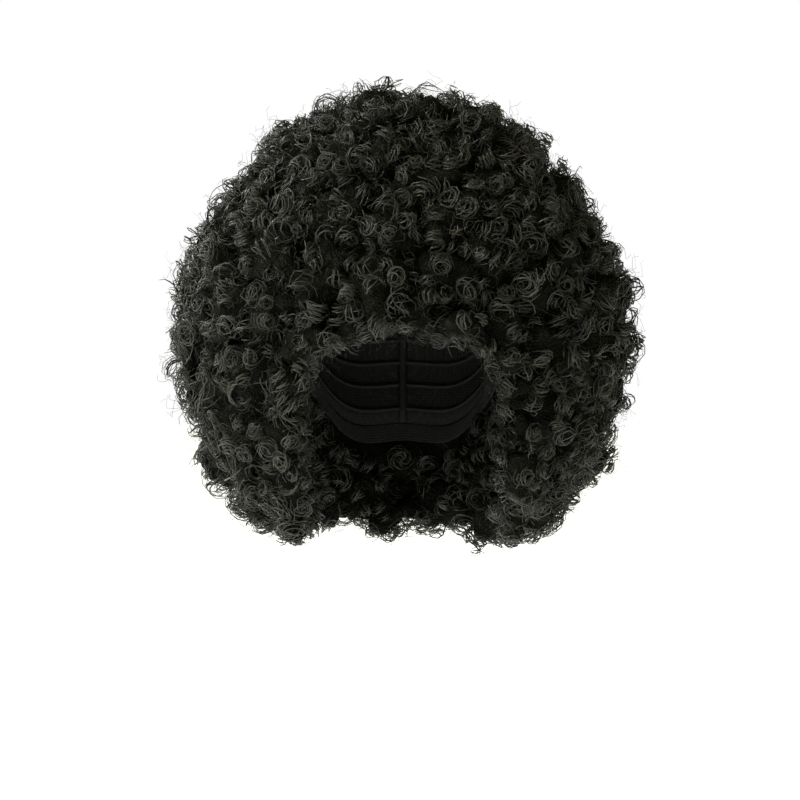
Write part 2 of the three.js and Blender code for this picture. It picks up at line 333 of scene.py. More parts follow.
def unit(vectors):
    return vectors / np.maximum(np.linalg.norm(vectors, axis=-1, keepdims=True), 1e-12)


def sideVectors(axes):
    # two directions square to each axis and to each other
    helper = np.where(np.abs(axes[:, 2:3]) < 0.8, [[0.0, 0.0, 1.0]], [[1.0, 0.0, 0.0]])
    first = unit(np.cross(axes, helper))
    return first, np.cross(axes, first)


# Strands: closed three-sided tubes along centre lines, round ones and flat ones of fibres side by side

def strandArrays(lines, wide, thick, meridians=None):
    # lines: strands x steps x 3; wide and thick: half the strand's width and its height, strands x steps
    strands, steps, _ = lines.shape
    tangents = unit(np.gradient(lines, axis=1))
    if meridians is None:
        meridians = np.empty_like(lines)
        meridians[:, 0] = sideVectors(tangents[:, 0])[0]
        for step in range(1, steps):
            meridians[:, step] = meridians[:, step - 1]
            along = tangents[:, step]
            spare = np.sum(meridians[:, step] * along, axis=1, keepdims=True)
            meridians[:, step] = unit(meridians[:, step] - along * spare)
    else:
        meridians = unit(meridians - tangents * np.sum(meridians * tangents, axis=2, keepdims=True))
    outwards = np.cross(tangents, meridians)
    edge = meridians * wide[..., None]
    ridge = outwards * thick[..., None]
    points = np.stack([lines - edge - 0.5 * ridge, lines + edge - 0.5 * ridge, lines + ridge], axis=2)
    points = points.reshape(-1, 3)
    index = np.arange(strands * steps * 3, dtype=np.int32).reshape(strands, steps, 3)
    turned = np.roll(index, -1, axis=2)
    walls = np.stack([index[:, :-1], turned[:, :-1], turned[:, 1:], index[:, 1:]], axis=-1).reshape(-1)
    ends = np.concatenate([index[:, 0, ::-1].reshape(-1), index[:, -1].reshape(-1)])
    sizes = np.concatenate([np.full(len(walls) // 4, 4, np.int32), np.full(len(ends) // 3, 3, np.int32)])
    travelled = np.cumsum(np.linalg.norm(np.diff(lines, axis=1, prepend=lines[:, :1]), axis=2), axis=1)
    number = rng.uniform(0, 90, strands)
    across = np.stack([-wide, wide, np.zeros_like(wide)], axis=2) / millimetre
    fibre = np.stack([
        across + number[:, None, None],
        np.repeat(travelled[..., None] / millimetre, 3, axis=2),
        np.broadcast_to(number[:, None, None], across.shape),
    ], axis=-1).reshape(-1, 3)
    return points, np.concatenate([walls, ends]), sizes, fibre


def joinArrays(parts):
    points, corners, sizes, fibres, offset = [], [], [], [], 0
    for partPoints, partCorners, partSizes, partFibres in parts:
        points.append(partPoints)
        corners.append(partCorners + offset)
        sizes.append(partSizes)
        fibres.append(partFibres)
        offset += len(partPoints)
    return tuple(np.concatenate(part) for part in (points, corners, sizes, fibres))


# The hair deep between the curls, one closed skin under all the sections, coloured darker than the curls as
# painted shade

backingSize = {
    "voxel": 5.0 * millimetre,
    "overlap": 0.25 * millimetre,   # joins the sections across their partings
    "inset": 11.5 * millimetre,     # how far the curls stand over it
    "rimInset": 4.0 * millimetre,   # the same round the face opening and inside the neck's hollow
    "outward": 0.6,                 # skin that faces away from the middle by this cosine has the whole inset
    "capReach": 5.0 * millimetre,   # closer than this to the cap it isn't set back
    "lumps": 2.4 * millimetre,
    "lumpScale": 95.0,
    "lumpDetail": (0.6, 2.2, 3),    # the noise's roughness, step and layers
    "smoothing": 3,                 # rounds
}


def treeOf(names):
    vertices, faces = [], []
    for name in names:
        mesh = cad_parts[name].data
        offset = len(vertices)
        vertices.extend(vertex.co.copy() for vertex in mesh.vertices)
        faces.extend([corner + offset for corner in polygon.vertices] for polygon in mesh.polygons)
    return BVHTree.FromPolygons(vertices, faces)


capTree = treeOf(["cap", "edge_band"])
sectionTrees = {name: treeOf([name]) for name in hairNodes}


def meshArrays(mesh):
    # points, normals weighted by area, triangles and edges
    mesh.calc_loop_triangles()
    points = np.empty(len(mesh.vertices) * 3, np.float32)
    mesh.vertices.foreach_get("co", points)
    triangles = np.empty(len(mesh.loop_triangles) * 3, np.int32)
    mesh.loop_triangles.foreach_get("vertices", triangles)
    edges = np.empty(len(mesh.edges) * 2, np.int32)
    mesh.edges.foreach_get("vertices", edges)
    points, triangles = points.reshape(-1, 3).astype(float), triangles.reshape(-1, 3)
    a, b, c = (points[triangles[:, i]] for i in range(3))
    across = np.cross(b - a, c - a)
    normals = np.stack([
        np.bincount(triangles.ravel(), np.repeat(across[:, axis], 3), len(points)) for axis in range(3)
    ], axis=1)
    return points, unit(normals), triangles, edges.reshape(-1, 2)


def smoothed(points, edges, rounds):
    smooth = points.copy()
    counts = np.bincount(edges.ravel(), minlength=len(points))[:, None]
    for _ in range(rounds):
        sums = np.zeros_like(smooth)
        for axis in range(3):
            sums[:, axis] += np.bincount(edges[:, 0], smooth[edges[:, 1], axis], len(points))
            sums[:, axis] += np.bincount(edges[:, 1], smooth[edges[:, 0], axis], len(points))
        smooth = sums / counts
    return smooth


def movePoints(mesh, points):
    mesh.vertices.foreach_set("co", points.astype(np.float32).ravel())
    mesh.update()
    mesh.shade_smooth()


def offCap(points):
    # 0 near the cap to 1 well away from it
    nears = np.array([capTree.find_nearest(Vector(point))[3] for point in points])
    return np.clip(nears / backingSize["capReach"] - 1.0, 0, 1)


def backingMesh():
    joined = bmesh.new()
    for name in hairNodes:
        section = bmesh.new()
        section.from_mesh(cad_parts[name].data)
        bmesh.ops.remove_doubles(section, verts=section.verts, dist=0.01 * millimetre)
        section.normal_update()
        for vertex in section.verts:
            vertex.co += vertex.normal * backingSize["overlap"]
        mesh = bpy.data.meshes.new("section")
        section.to_mesh(mesh)
        section.free()
        joined.from_mesh(mesh)
        bpy.data.meshes.remove(mesh)
    mesh = bpy.data.meshes.new("joined")
    joined.to_mesh(mesh)
    joined.free()
    body = bpy.data.objects.new("joined", mesh)
    scene.collection.objects.link(body)
    remesh = body.modifiers.new("remesh", "REMESH")
    remesh.mode = "VOXEL"
    remesh.voxel_size = backingSize["voxel"]
    remesh.use_smooth_shade = True
    graph = bpy.context.evaluated_depsgraph_get()
    skin = bpy.data.meshes.new_from_object(body.evaluated_get(graph))
    bpy.data.objects.remove(body)
    points, normals, _, edges = meshArrays(skin)
    outward = np.sum(normals * unit(points - hairCentre), axis=1)
    facing = np.clip(outward / backingSize["outward"], 0, 1)
    inset = backingSize["rimInset"] * (1 - facing) + backingSize["inset"] * facing
    lumps = np.array([
        noise.fractal(Vector(point) * backingSize["lumpScale"], *backingSize["lumpDetail"]) for point in points
    ])
    away = offCap(points)[:, None]
    setBack = points - normals * away * inset[:, None]
    rounded = smoothed(setBack, edges, backingSize["smoothing"])
    lumpy = rounded + normals * lumps[:, None] * backingSize["lumps"]
    movePoints(skin, setBack + (lumpy - setBack) * away)
    return skin


def placesOn(mesh, trials):
    points, normals, triangles, _ = meshArrays(mesh)
    a, b, c = (points[triangles[:, i]] for i in range(3))
    areas = np.linalg.norm(np.cross(b - a, c - a), axis=1)
    picks = rng.choice(len(triangles), trials, p=areas / areas.sum())
    first, second = rng.random((2, trials, 1))
    folded = first + second > 1
    first, second = np.where(folded, 1 - first, first), np.where(folded, 1 - second, second)
    places = a[picks] + (b[picks] - a[picks]) * first + (c[picks] - a[picks]) * second
    directions = unit(sum(normals[triangles[picks, i]] for i in range(3)))
    return places, directions, triangles[picks]


def wellSpaced(places, spacings):
    # the numbers of the places that keep their spacing from all those before them
    kept, grid, cell = [], {}, float(np.max(spacings))
    for number, place in enumerate(places):
        key = tuple((place // cell).astype(int))
        near = [
            other for dx in (-1, 0, 1) for dy in (-1, 0, 1) for dz in (-1, 0, 1)
            for other in grid.get((key[0] + dx, key[1] + dy, key[2] + dz), [])
        ]
        if not any(np.sum((place - other) ** 2) < spacings[number] ** 2 for other in near):
            grid.setdefault(key, []).append(place)
            kept.append(number)
    return kept


clumpSize = {
    "spacing": 30.0 * millimetre,
    "trials": 12000,
    "rise": 15.0 * millimetre,  # from the gaps between clumps to their tops
    "gap": 12.0 * millimetre,   # width of the slope on each side of a gap
    "bend": 6.0 * millimetre,
    "bendScale": 50.0,
    "level": 0.62,              # share of the rise that lies under the skin
}


def gatherIntoClumps(mesh):
    # curls cling together in rounded clumps with dark gaps between them
    places, _, _ = placesOn(mesh, clumpSize["trials"])
    middles = places[wellSpaced(places, np.full(len(places), clumpSize["spacing"]))]
    tree = KDTree(len(middles))
    for number, middle in enumerate(middles):
        tree.insert(Vector(middle), number)
    tree.balance()
    points, normals, _, _ = meshArrays(mesh)
    shares = []
    for point in points:
        place = Vector(point)
        bent = place + noise.noise_vector(place * clumpSize["bendScale"]) * clumpSize["bend"]
        nearest, second = tree.find_n(bent, 2)
        shares.append(min(1.0, (second[2] - nearest[2]) / clumpSize["gap"]))
    shares = np.array(shares)
    shares = shares * (2 - shares)
    moves = offCap(points) * (shares - clumpSize["level"]) * clumpSize["rise"]
    movePoints(mesh, points + normals * moves[:, None])
    print("clumps:", len(middles))


skin = backingMesh()
gatherIntoClumps(skin)
placePiece("inner_hair", skin, innerHairFinish, hairNodes)
print("inner hair:", len(skin.polygons), "faces")


# Places of the curls on the inner hair

curlPlaces = {
    "spacing": 12.5 * millimetre,
    "edgeSpacing": 9.6 * millimetre,    # along the lower edge
    "innerSpacing": 14.0 * millimetre,  # inside the neck's hollow
    "sizes": (0.76, 1.26),              # large and small curls, each in its own room
    "trials": 50000,
    "capReach": 9.0 * millimetre,       # no curl starts closer to the cap than this
    "foldDepth": 2.8 * millimetre,      # deeper folds between the locks stay bare, and painted shade darkens them
    "smoothing": 30,                    # rounds that take the locks out of the skin
    "rimHeight": 30.0 * millimetre,     # how far up the cap the hollow reaches, and the lower edge up the hair
    "edgeFacing": -0.45,                # skin that looks down more than this is lower edge
}


def foldShade(heights):
    # painted shade: 0 deep in a fold to 1 on top of a lock
    share = np.clip(heights / curlPlaces["foldDepth"] * 0.5 + 0.5, 0, 1)
    return share * share * (3 - 2 * share)


def curlSpots():
    points, normals, _, edges = meshArrays(skin)
    # how far each point stands over the same skin with its locks smoothed away
    heights = np.sum((points - smoothed(points, edges, curlPlaces["smoothing"])) * normals, axis=1)
    skinLow = points[:, 2].min()
    print("folds and locks, mm:", np.percentile(heights, [2, 10, 25, 50, 75, 90, 98]) / millimetre)
    places, directions, corners = placesOn(skin, curlPlaces["trials"])
    folds = heights[corners].mean(axis=1)
    inward = places[:, 0] * directions[:, 0] + (places[:, 1] - capCentre[1]) * directions[:, 1] < 0
    inward &= places[:, 2] < capLow[2] + curlPlaces["rimHeight"]
    fromCap = np.array([capTree.find_nearest(Vector(place))[3] for place in places])
    lowEdge = places[:, 2] < skinLow + curlPlaces["rimHeight"]
    lowEdge &= directions[:, 2] < curlPlaces["edgeFacing"]
    usable = ((folds > -curlPlaces["foldDepth"]) | lowEdge) & (fromCap > curlPlaces["capReach"])
    spacings = np.where(inward, curlPlaces["innerSpacing"], curlPlaces["spacing"])
    spacings = np.where(lowEdge, curlPlaces["edgeSpacing"], spacings)
    sizes = rng.uniform(*curlPlaces["sizes"], len(places))
    places, directions, folds, sizes, spacings = (
        values[usable] for values in (places, directions, folds, sizes, spacings * sizes)
    )
    kept = wellSpaced(places, spacings)
    # painted shade on the inner hair, darker in the folds and lighter on the locks
    layer = skin.attributes.new("tone", "FLOAT", "POINT")
    layer.data.foreach_set("value", foldShade(heights).astype(np.float32))
    return places[kept], directions[kept], foldShade(folds[kept]), sizes[kept]


spots, spotNormals, spotShades, spotSizes = curlSpots()
print("curl places:", len(spots))


def sectionOf(place):
    return min(hairNodes, key=lambda name: sectionTrees[name].find_nearest(Vector(place))[3])


spotSections = np.array([sectionOf(place) for place in spots])
spotRolls = rng.random(len(spots))


# Curls: each kind is a bundle of strands round one axis

curlKinds = {
    # share of places, strands, steps along each, turns, radius and height in mm, taper, tilt from upright,
    # spread of the strands' starts in radians, half width and thickness in mm, wander in mm, sway of each
    # strand's own axis; where close is high, the curl stays wide at first and closes near its tip
    "ball": {"share": 0.42, "strands": 8, "steps": 12, "turns": (0.9, 1.4), "radius": (7.2, 9.8),
             "height": (4.5, 9.0), "taper": (0.5, 0.9), "close": 1.6, "tilt": (0.0, 0.8), "base": -3.0,
             "phase": 6.0, "wide": (0.3, 0.62), "thick": 0.3, "wander": 1.2, "sway": 0.34},
    "ringlet": {"share": 0.25, "strands": 6, "steps": 14, "turns": (1.4, 2.2), "radius": (4.4, 6.6),
                "height": (10.0, 17.0), "taper": (0.0, 0.35), "close": 1.0, "tilt": (0.7, 1.3), "base": -4.0,
                "phase": 3.2, "wide": (0.32, 0.64), "thick": 0.3, "wander": 1.2, "sway": 0.14},
    "ring": {"share": 0.16, "strands": 6, "steps": 12, "turns": (0.9, 1.3), "radius": (5.5, 8.5),
             "height": (2.0, 6.0), "taper": (0.0, 0.3), "close": 1.0, "tilt": (0.7, 1.3), "base": -2.5,
             "phase": 2.2, "wide": (0.3, 0.6), "thick": 0.3, "wander": 1.4, "sway": 0.3},
    "wave": {"share": 0.14, "strands": 6, "steps": 10, "turns": (0.7, 1.1), "radius": (5.0, 8.0),
             "height": (10.0, 18.0), "taper": (0.0, 0.5), "close": 1.0, "tilt": (1.0, 1.45), "base": -4.0,
             "phase": 2.0, "wide": (0.32, 0.62), "thick": 0.3, "wander": 1.8, "sway": 0.3},
}
strandSize = {
    "lift": 2.0 * millimetre,        # of each curl's axis off the inner hair
    "sag": 0.2,                      # how far axes lean down
    "wanderWaves": (1.1, 2.7),       # bends in a strand's length
    "turnSpread": (0.85, 1.1), "radiusSpread": (0.8, 1.14), "heightSpread": (0.9, 1.1),
    "taperSpread": 0.04, "baseSpread": 0.5,
    "narrowest": 0.35,               # a strand's ends, as a share of its width
    "rootShade": 0.15,               # painted shade at its start, deep in the hair: how light the start is, as a share of its tip
    # painted shade: a curl's tone is scaled from toneInFold in a fold up to toneInFold plus toneOnLock on a
    # lock
    "toneCurve": (1.0, 1.7), "toneInFold": 0.4, "toneOnLock": 0.8, "toneSpread": 0.1,
    "warmShare": 0.008, "warmth": (0.2, 0.6),
    "reach": 8.0 * millimetre,       # no strand passes the solids' box by more
}
riseShape = 0.85  # curls rise fast at first


def held(lines):
    # each strand is moved back as a whole by what it passes the box
    low = np.array(cadBox[0]) - strandSize["reach"]
    high = np.array(cadBox[1]) + strandSize["reach"]
    over = np.maximum(lines.max(axis=1) - high, 0) - np.maximum(low - lines.min(axis=1), 0)
    return lines - over[:, None, :]


def curlLines(steps, origin, axis, turns, radius, height, taper, close, base, start, wander):
    count = len(origin)
    share = np.linspace(0, 1, steps)[None, :]
    first, second = sideVectors(axis)
    angle = start[:, None] + 2 * math.pi * turns[:, None] * share
    reach = radius[:, None] * (1 - taper[:, None] * share ** close)
    rise = height[:, None] * share ** (riseShape / close) + base[:, None]
    radial = np.cos(angle)[..., None] * first[:, None, :] + np.sin(angle)[..., None] * second[:, None, :]
    lines = origin[:, None, :] + axis[:, None, :] * rise[..., None] + reach[..., None] * radial
    for frequency in strandSize["wanderWaves"]:
        phase = rng.uniform(0, 2 * math.pi, (count, 1, 3))
        lines = lines + wander / frequency * np.sin(2 * math.pi * frequency * share[..., None] + phase)
    slope = np.sqrt((radius * taper) ** 2 + height ** 2)
    upwards = (axis * (height / slope)[:, None])[:, None, :]
    return held(lines), upwards - radial * ((radius * taper) / slope)[:, None, None]


def curlAxes(origin, normal, tilt):
    turn = rng.uniform(0, 2 * math.pi, len(origin))
    first, second = sideVectors(normal)
    sideways = np.cos(turn)[:, None] * first + np.sin(turn)[:, None] * second
    axis = unit(np.cos(tilt)[:, None] * normal + np.sin(tilt)[:, None] * sideways)
    return unit(axis + [0, 0, -strandSize["sag"]])


def curlsOf(kind, origin, normal, shades, sizes):
    size = curlKinds[kind]
    curls, strands = len(origin), size["strands"]
    count = curls * strands

    def each(values):
        return np.repeat(values, strands, axis=0)

    axis = each(curlAxes(origin, normal, rng.uniform(*size["tilt"], curls)))
    turns, radius, height, taper = (
        each(rng.uniform(*size[key], curls)) for key in ("turns", "radius", "height", "taper")
    )
    handed = each(rng.choice([-1.0, 1.0], curls))
    start = each(rng.uniform(0, 2 * math.pi, curls))
    # painted shade: curls in the folds are darker than those on top of the locks
    depth = strandSize["toneInFold"] + strandSize["toneOnLock"] * shades
    tone = each(rng.beta(*strandSize["toneCurve"], curls) * depth)
    order = np.tile(np.arange(strands), curls) / strands
    lines, meridians = curlLines(
        size["steps"], each(origin + normal * strandSize["lift"]),
        unit(axis + rng.normal(0, size["sway"], (count, 3))),
        handed * turns * rng.uniform(*strandSize["turnSpread"], count),
        radius * each(sizes) * rng.uniform(*strandSize["radiusSpread"], count) * millimetre,
        height * each(sizes) * rng.uniform(*strandSize["heightSpread"], count) * millimetre,
        np.clip(taper + rng.normal(0, strandSize["taperSpread"], count), 0, 0.93), size["close"],
        (size["base"] + rng.normal(0, strandSize["baseSpread"], count)) * millimetre,
        start + size["phase"] * order * handed, size["wander"] * millimetre,
    )
    share = np.linspace(0, 1, size["steps"])[None, :]
    narrowest, rootShade = strandSize["narrowest"], strandSize["rootShade"]
    swell = narrowest + (1 - narrowest) * np.sin(math.pi * (share * 0.94 + 0.03)) ** 0.6
    wide = rng.uniform(*size["wide"], count)[:, None] * swell * millimetre
    thick = np.broadcast_to(size["thick"] * millimetre * swell, wide.shape)
    arrays = strandArrays(lines, wide, thick, meridians)
    shade = np.clip(tone + rng.normal(0, strandSize["toneSpread"], count), 0, 1)[:, None]
    # painted shade: each strand is darker towards its root, deep in the hair
    shade = shade * (rootShade + (1 - rootShade) * share)
    warm = np.where(
        rng.random(count) < strandSize["warmShare"], rng.uniform(*strandSize["warmth"], count), 0
    )
    return arrays, np.repeat(shade.ravel(), 3), np.repeat(warm, size["steps"] * 3)


def hairPiece(name):
    chosen = np.flatnonzero(spotSections == name)
    limits = np.cumsum([kind["share"] for kind in curlKinds.values()])
    kinds = np.searchsorted(limits, spotRolls[chosen] * limits[-1] * 0.9999)  # each below the last limit
    results = []
    for number, kind in enumerate(curlKinds):
        members = chosen[kinds == number]
        if len(members):
            results.append(curlsOf(kind, spots[members], spotNormals[members], spotShades[members],
                                   spotSizes[members]))
    points, corners, sizes, fibres = joinArrays([arrays for arrays, _, _ in results])
    values = {
        "tone": np.concatenate([tone for _, tone, _ in results]),
        "warm": np.concatenate([warm for _, _, warm in results]), "fibre": fibres,
    }
    mesh = meshFromArrays(name + "_curls", points, corners, sizes, values)
    placePiece(name + "_curls", mesh, curlFinish, [name])
    triangles = int(np.sum(sizes - 2))
    print(name, "curls:", len(chosen), "places,", triangles, "triangles")
    return triangles


curlTriangles = sum(hairPiece(name) for name in hairNodes)


# Frizz: thin single fibres over all the curls

frizzSize = {
    # as for the curls; thickness in mm runs down to thinEnd of it, scatter in mm round the curls' places
    "fibres": 4000, "steps": 7, "turns": (0.5, 1.3), "radius": (2.0, 6.5), "height": (3.0, 15.0),
    "taper": (0.0, 0.5), "tilt": (0.0, 1.3), "base": (1.0, 6.0), "thickness": (0.08, 0.16), "thinEnd": 0.5,
    "wander": 1.6, "scatter": 4.0, "toneCurve": (1.6, 2.0), "warmShare": 0.03, "warmth": 0.7,
}


def frizzPiece():
    count, steps = frizzSize["fibres"], frizzSize["steps"]
    picked = rng.integers(0, len(spots), count)
    first, second = sideVectors(spotNormals[picked])
    scatter = frizzSize["scatter"]
    origin = (spots[picked] + first * rng.normal(0, scatter, (count, 1)) * millimetre
              + second * rng.normal(0, scatter, (count, 1)) * millimetre)
    drawn = {key: rng.uniform(*frizzSize[key], count) for key in ("turns", "radius", "height", "taper", "base")}
    axis = curlAxes(origin, spotNormals[picked], rng.uniform(*frizzSize["tilt"], count))
    lines, _ = curlLines(
        steps, origin, axis, drawn["turns"] * rng.choice([-1.0, 1.0], count),
        drawn["radius"] * millimetre, drawn["height"] * millimetre, drawn["taper"], 1.0,
        drawn["base"] * millimetre, rng.uniform(0, 2 * math.pi, count), frizzSize["wander"] * millimetre,
    )
    thinning = np.linspace(1.0, frizzSize["thinEnd"], steps)
    thick = rng.uniform(*frizzSize["thickness"], (count, 1)) * thinning * millimetre
    points, corners, sizes, fibres = strandArrays(lines, thick, thick)
    tone = np.repeat(rng.beta(*frizzSize["toneCurve"], count), steps * 3)
    warm = np.where(rng.random(count) < frizzSize["warmShare"], frizzSize["warmth"], 0.0)
    values = {"tone": tone, "warm": np.repeat(warm, steps * 3), "fibre": fibres}
    placePiece("frizz", meshFromArrays("frizz", points, corners, sizes, values), curlFinish, hairNodes)
    return int(np.sum(sizes - 2))


frizzTriangles = frizzPiece()
print("curls:", curlTriangles, "triangles; frizz:", frizzTriangles, "triangles")


# The cap: net with rows of weft tape and upright straps inside, and its elastic band

capSize = {
    # in mm, apart from counts, the wrinkles' scale and the angles, which are in radians
    "around": 120, "rows": 26, "thickness": 1.3, "wrinkle": 0.35, "wrinkleScale": 60.0,
    "middle": 85.0,  # the middle that the wall is seen from, under the cap's top
    "topAngle": 0.02, "edgeAngles": (0.3, 3.0), "edgeMargin": 0.003, "seamGap": 0.004, "edgeSmoothing": 3,
    "weftRows": 13, "weftHalf": 1.7, "weftThick": 0.8, "weftStand": 0.35, "weftEnds": 2.0,
    "straps": 7, "strapHalf": 3.4, "strapThick": 0.4, "strapStand": 0.9,
    "bandRows": 25, "bandWidth": 12.0, "ribs": 6, "ribRise": 0.22, "bandThickness": 1.9, "columnWidth": 4.4,
}
capMiddle = np.array([0.0, capCentre[1], capHigh[2] - capSize["middle"] * millimetre])
netTree = treeOf(["cap"])
bandTree = treeOf(["edge_band"])


def rayDirection(azimuth, polar):
    return np.array([
        math.sin(polar) * math.sin(azimuth), -math.sin(polar) * math.cos(azimuth), math.cos(polar),
    ])


def rayReach(tree, azimuth, polar):
    # how far from the cap's middle the wall is, or nothing where the ray misses it
    return tree.ray_cast(Vector(capMiddle), Vector(rayDirection(azimuth, polar)))[3]


def edgePolar(tree, azimuth, low):
    # the lowest direction that still meets the wall
    high = capSize["edgeAngles"][1]
    for _ in range(16):
        middle = (low + high) / 2
        if rayReach(tree, azimuth, middle) is None:
            high = middle
        else:
            low = middle
    return low


def smoothRound(values, rounds):
    around = 0 if values.ndim == 1 else 1
    for _ in range(rounds):
        values = (np.roll(values, 1, axis=around) + 2 * values + np.roll(values, -1, axis=around)) / 4
    return values


azimuths = np.linspace(0, 2 * math.pi, capSize["around"], endpoint=False)
netEdge = np.array([edgePolar(netTree, azimuth, capSize["edgeAngles"][0]) for azimuth in azimuths])
bandEdge = np.array([
    edgePolar(bandTree, azimuth, edge + 2 * capSize["seamGap"]) for azimuth, edge in zip(azimuths, netEdge)
])
netEdge = np.minimum(netEdge, smoothRound(netEdge, capSize["edgeSmoothing"]))
bandEdge = np.minimum(bandEdge, smoothRound(bandEdge, capSize["edgeSmoothing"]))


def wallGrid(tree, starts, ends, rows):
    # rows x around points of the wall's inner face, from polar angles starts to ends
    # a ray that passes the wall's edge reaches as far as the nearest one that meets it
    grid = np.zeros((rows, len(azimuths), 3))
    share = np.linspace(0, 1, rows)
    for column, azimuth in enumerate(azimuths):
        polars = starts[column] * (1 - share) + (ends[column] - capSize["edgeMargin"]) * share
        reaches = np.array([rayReach(tree, azimuth, polar) or 0.0 for polar in polars])
        met = np.flatnonzero(reaches)
        reaches = np.interp(np.arange(rows), met, reaches[met])
        for row, polar in enumerate(polars):
            grid[row, column] = capMiddle + rayDirection(azimuth, polar) * reaches[row]
    return smoothRound(grid, 2)


def inwardOf(grid):
    down = np.gradient(grid, axis=0)
    around = (np.roll(grid, -1, axis=1) - np.roll(grid, 1, axis=1)) / 2
    normals = unit(np.cross(down, around))
    towards = np.sum(normals * (capMiddle - grid), axis=2, keepdims=True)
    return np.where(towards > 0, normals, -normals)


def shellMesh(name, inner, outer, values=None):
    # a closed wall between two grids, its first and last rows joined
    rows, around, _ = inner.shape
    points = np.concatenate([inner.reshape(-1, 3), outer.reshape(-1, 3)])
    index = np.arange(rows * around).reshape(rows, around)
    nextIndex = np.roll(index, -1, axis=1)
    other = rows * around
    faces = [
        np.stack([index[:-1], nextIndex[:-1], nextIndex[1:], index[1:]], axis=-1).reshape(-1, 4),
        np.stack([index[:-1], index[1:], nextIndex[1:], nextIndex[:-1]], axis=-1).reshape(-1, 4) + other,
        np.stack([index[0], index[0] + other, nextIndex[0] + other, nextIndex[0]], axis=-1),
        np.stack([index[-1], nextIndex[-1], nextIndex[-1] + other, index[-1] + other], axis=-1),
    ]
    corners = np.concatenate(faces).reshape(-1)
    mesh = meshFromArrays(name, points, corners, np.full(len(corners) // 4, 4, np.int32), values or {})
    shape = bmesh.new()
    shape.from_mesh(mesh)
    bmesh.ops.recalc_face_normals(shape, faces=shape.faces)
    shape.to_mesh(mesh)
    shape.free()
    return mesh


netLook = {"cellScale": 520.0, "randomness": 0.35, "thread": (0.04, 0.16), "dark": (0.0006, 0.0006, 0.0005),
           "light": (0.009, 0.009, 0.008), "roughness": 0.7, "specular": 0.2}
tapeLook = {"roughness": 0.75, "specular": 0.25}
clothBump = {"strength": 0.8, "depth": 0.3 * millimetre}


def netMaterial():
    material, tree, shader = newMaterial("black net")
    cells = tree.nodes.new("ShaderNodeTexVoronoi")
    cells.feature = "DISTANCE_TO_EDGE"
    cells.inputs["Scale"].default_value = netLook["cellScale"]
    cells.inputs["Randomness"].default_value = netLook["randomness"]
    tree.links.new(tree.nodes.new("ShaderNodeTexCoord").outputs["Object"], cells.inputs["Vector"])
    threads = mapRange(tree, cells.outputs["Distance"], netLook["thread"], (1.0, 0.0))
    colour = mixColours(tree, threads, netLook["dark"], netLook["light"])
    tree.links.new(colour, shader.inputs["Base Color"])
    addBump(tree, shader, threads, clothBump["strength"], clothBump["depth"])
    shader.inputs["Roughness"].default_value = netLook["roughness"]
    shader.inputs["Specular IOR Level"].default_value = netLook["specular"]
    return material


def tapeMaterial(name, dark, light, threadsPerMillimetre):
    material, tree, shader = newMaterial(name)
    streak = addGroup(tree, fibreStreaks, {"Fibres Per Millimetre": threadsPerMillimetre}).outputs["Streak"]
    tree.links.new(mixColours(tree, streak, dark, light), shader.inputs["Base Color"])
    addBump(tree, shader, streak, clothBump["strength"], clothBump["depth"])
    shader.inputs["Roughness"].default_value = tapeLook["roughness"]
    shader.inputs["Specular IOR Level"].default_value = tapeLook["specular"]
    return material


def netPiece():
    inner = wallGrid(netTree, np.full(len(azimuths), capSize["topAngle"]), netEdge, capSize["rows"])
    inward = inwardOf(inner)
    flat = inner.reshape(-1, 3)
    wrinkles = np.array([noise.noise(Vector(point) * capSize["wrinkleScale"]) for point in flat])
    inner = inner + inward * (wrinkles.reshape(inner.shape[:2] + (1,)) * capSize["wrinkle"] * millimetre)
    outer = inner - inward * capSize["thickness"] * millimetre
    placePiece("net_cap", shellMesh("net_cap", inner, outer), netMaterial(), ["cap"])
    return inner, inward


def tapeArrays(line, side, half, thickness):
    # a flat tape along one line
    wide = np.full((1, len(line)), half * millimetre)
    thick = np.full((1, len(line)), thickness * millimetre)
    return strandArrays(line[None], wide, thick, side[None])


def weftPiece(inner, inward):
    # rows of tape round the inside, and upright straps that meet at the crown
    last = inner.shape[0] - 1.0
    parts = []

    def along(grid, row):
        low = int(row)
        share = row - low
        return grid[low] * (1 - share) + grid[min(low + 1, len(grid) - 1)] * share

    for row in np.linspace(capSize["weftEnds"], last + 1 - capSize["weftEnds"], capSize["weftRows"]):
        line = along(inner, row) + along(inward, row) * capSize["weftStand"] * millimetre
        down = unit(along(inner, min(row + 1, last)) - along(inner, row - 1))
        line, down = (np.concatenate([values, values[:1]])[::-1] for values in (line, down))
        parts.append(tapeArrays(line, down, capSize["weftHalf"], capSize["weftThick"]))
    for strap in range(capSize["straps"]):
        column = int(capSize["around"] * (strap + 0.5) / capSize["straps"])
        line = inner[1:, column] + inward[1:, column] * capSize["strapStand"] * millimetre
        side = unit(inner[1:, column - 1] - inner[1:, (column + 1) % capSize["around"]])
        parts.append(tapeArrays(line, side, capSize["strapHalf"], capSize["strapThick"]))
    points, corners, sizes, fibres = joinArrays(parts)
    mesh = meshFromArrays("weft_tapes", points, corners, sizes, {"fibre": fibres})
    tape = tapeMaterial("weft tape", (0.002, 0.002, 0.002), (0.012, 0.012, 0.011), 3.0)
    placePiece("weft_tapes", mesh, tape, ["cap"])


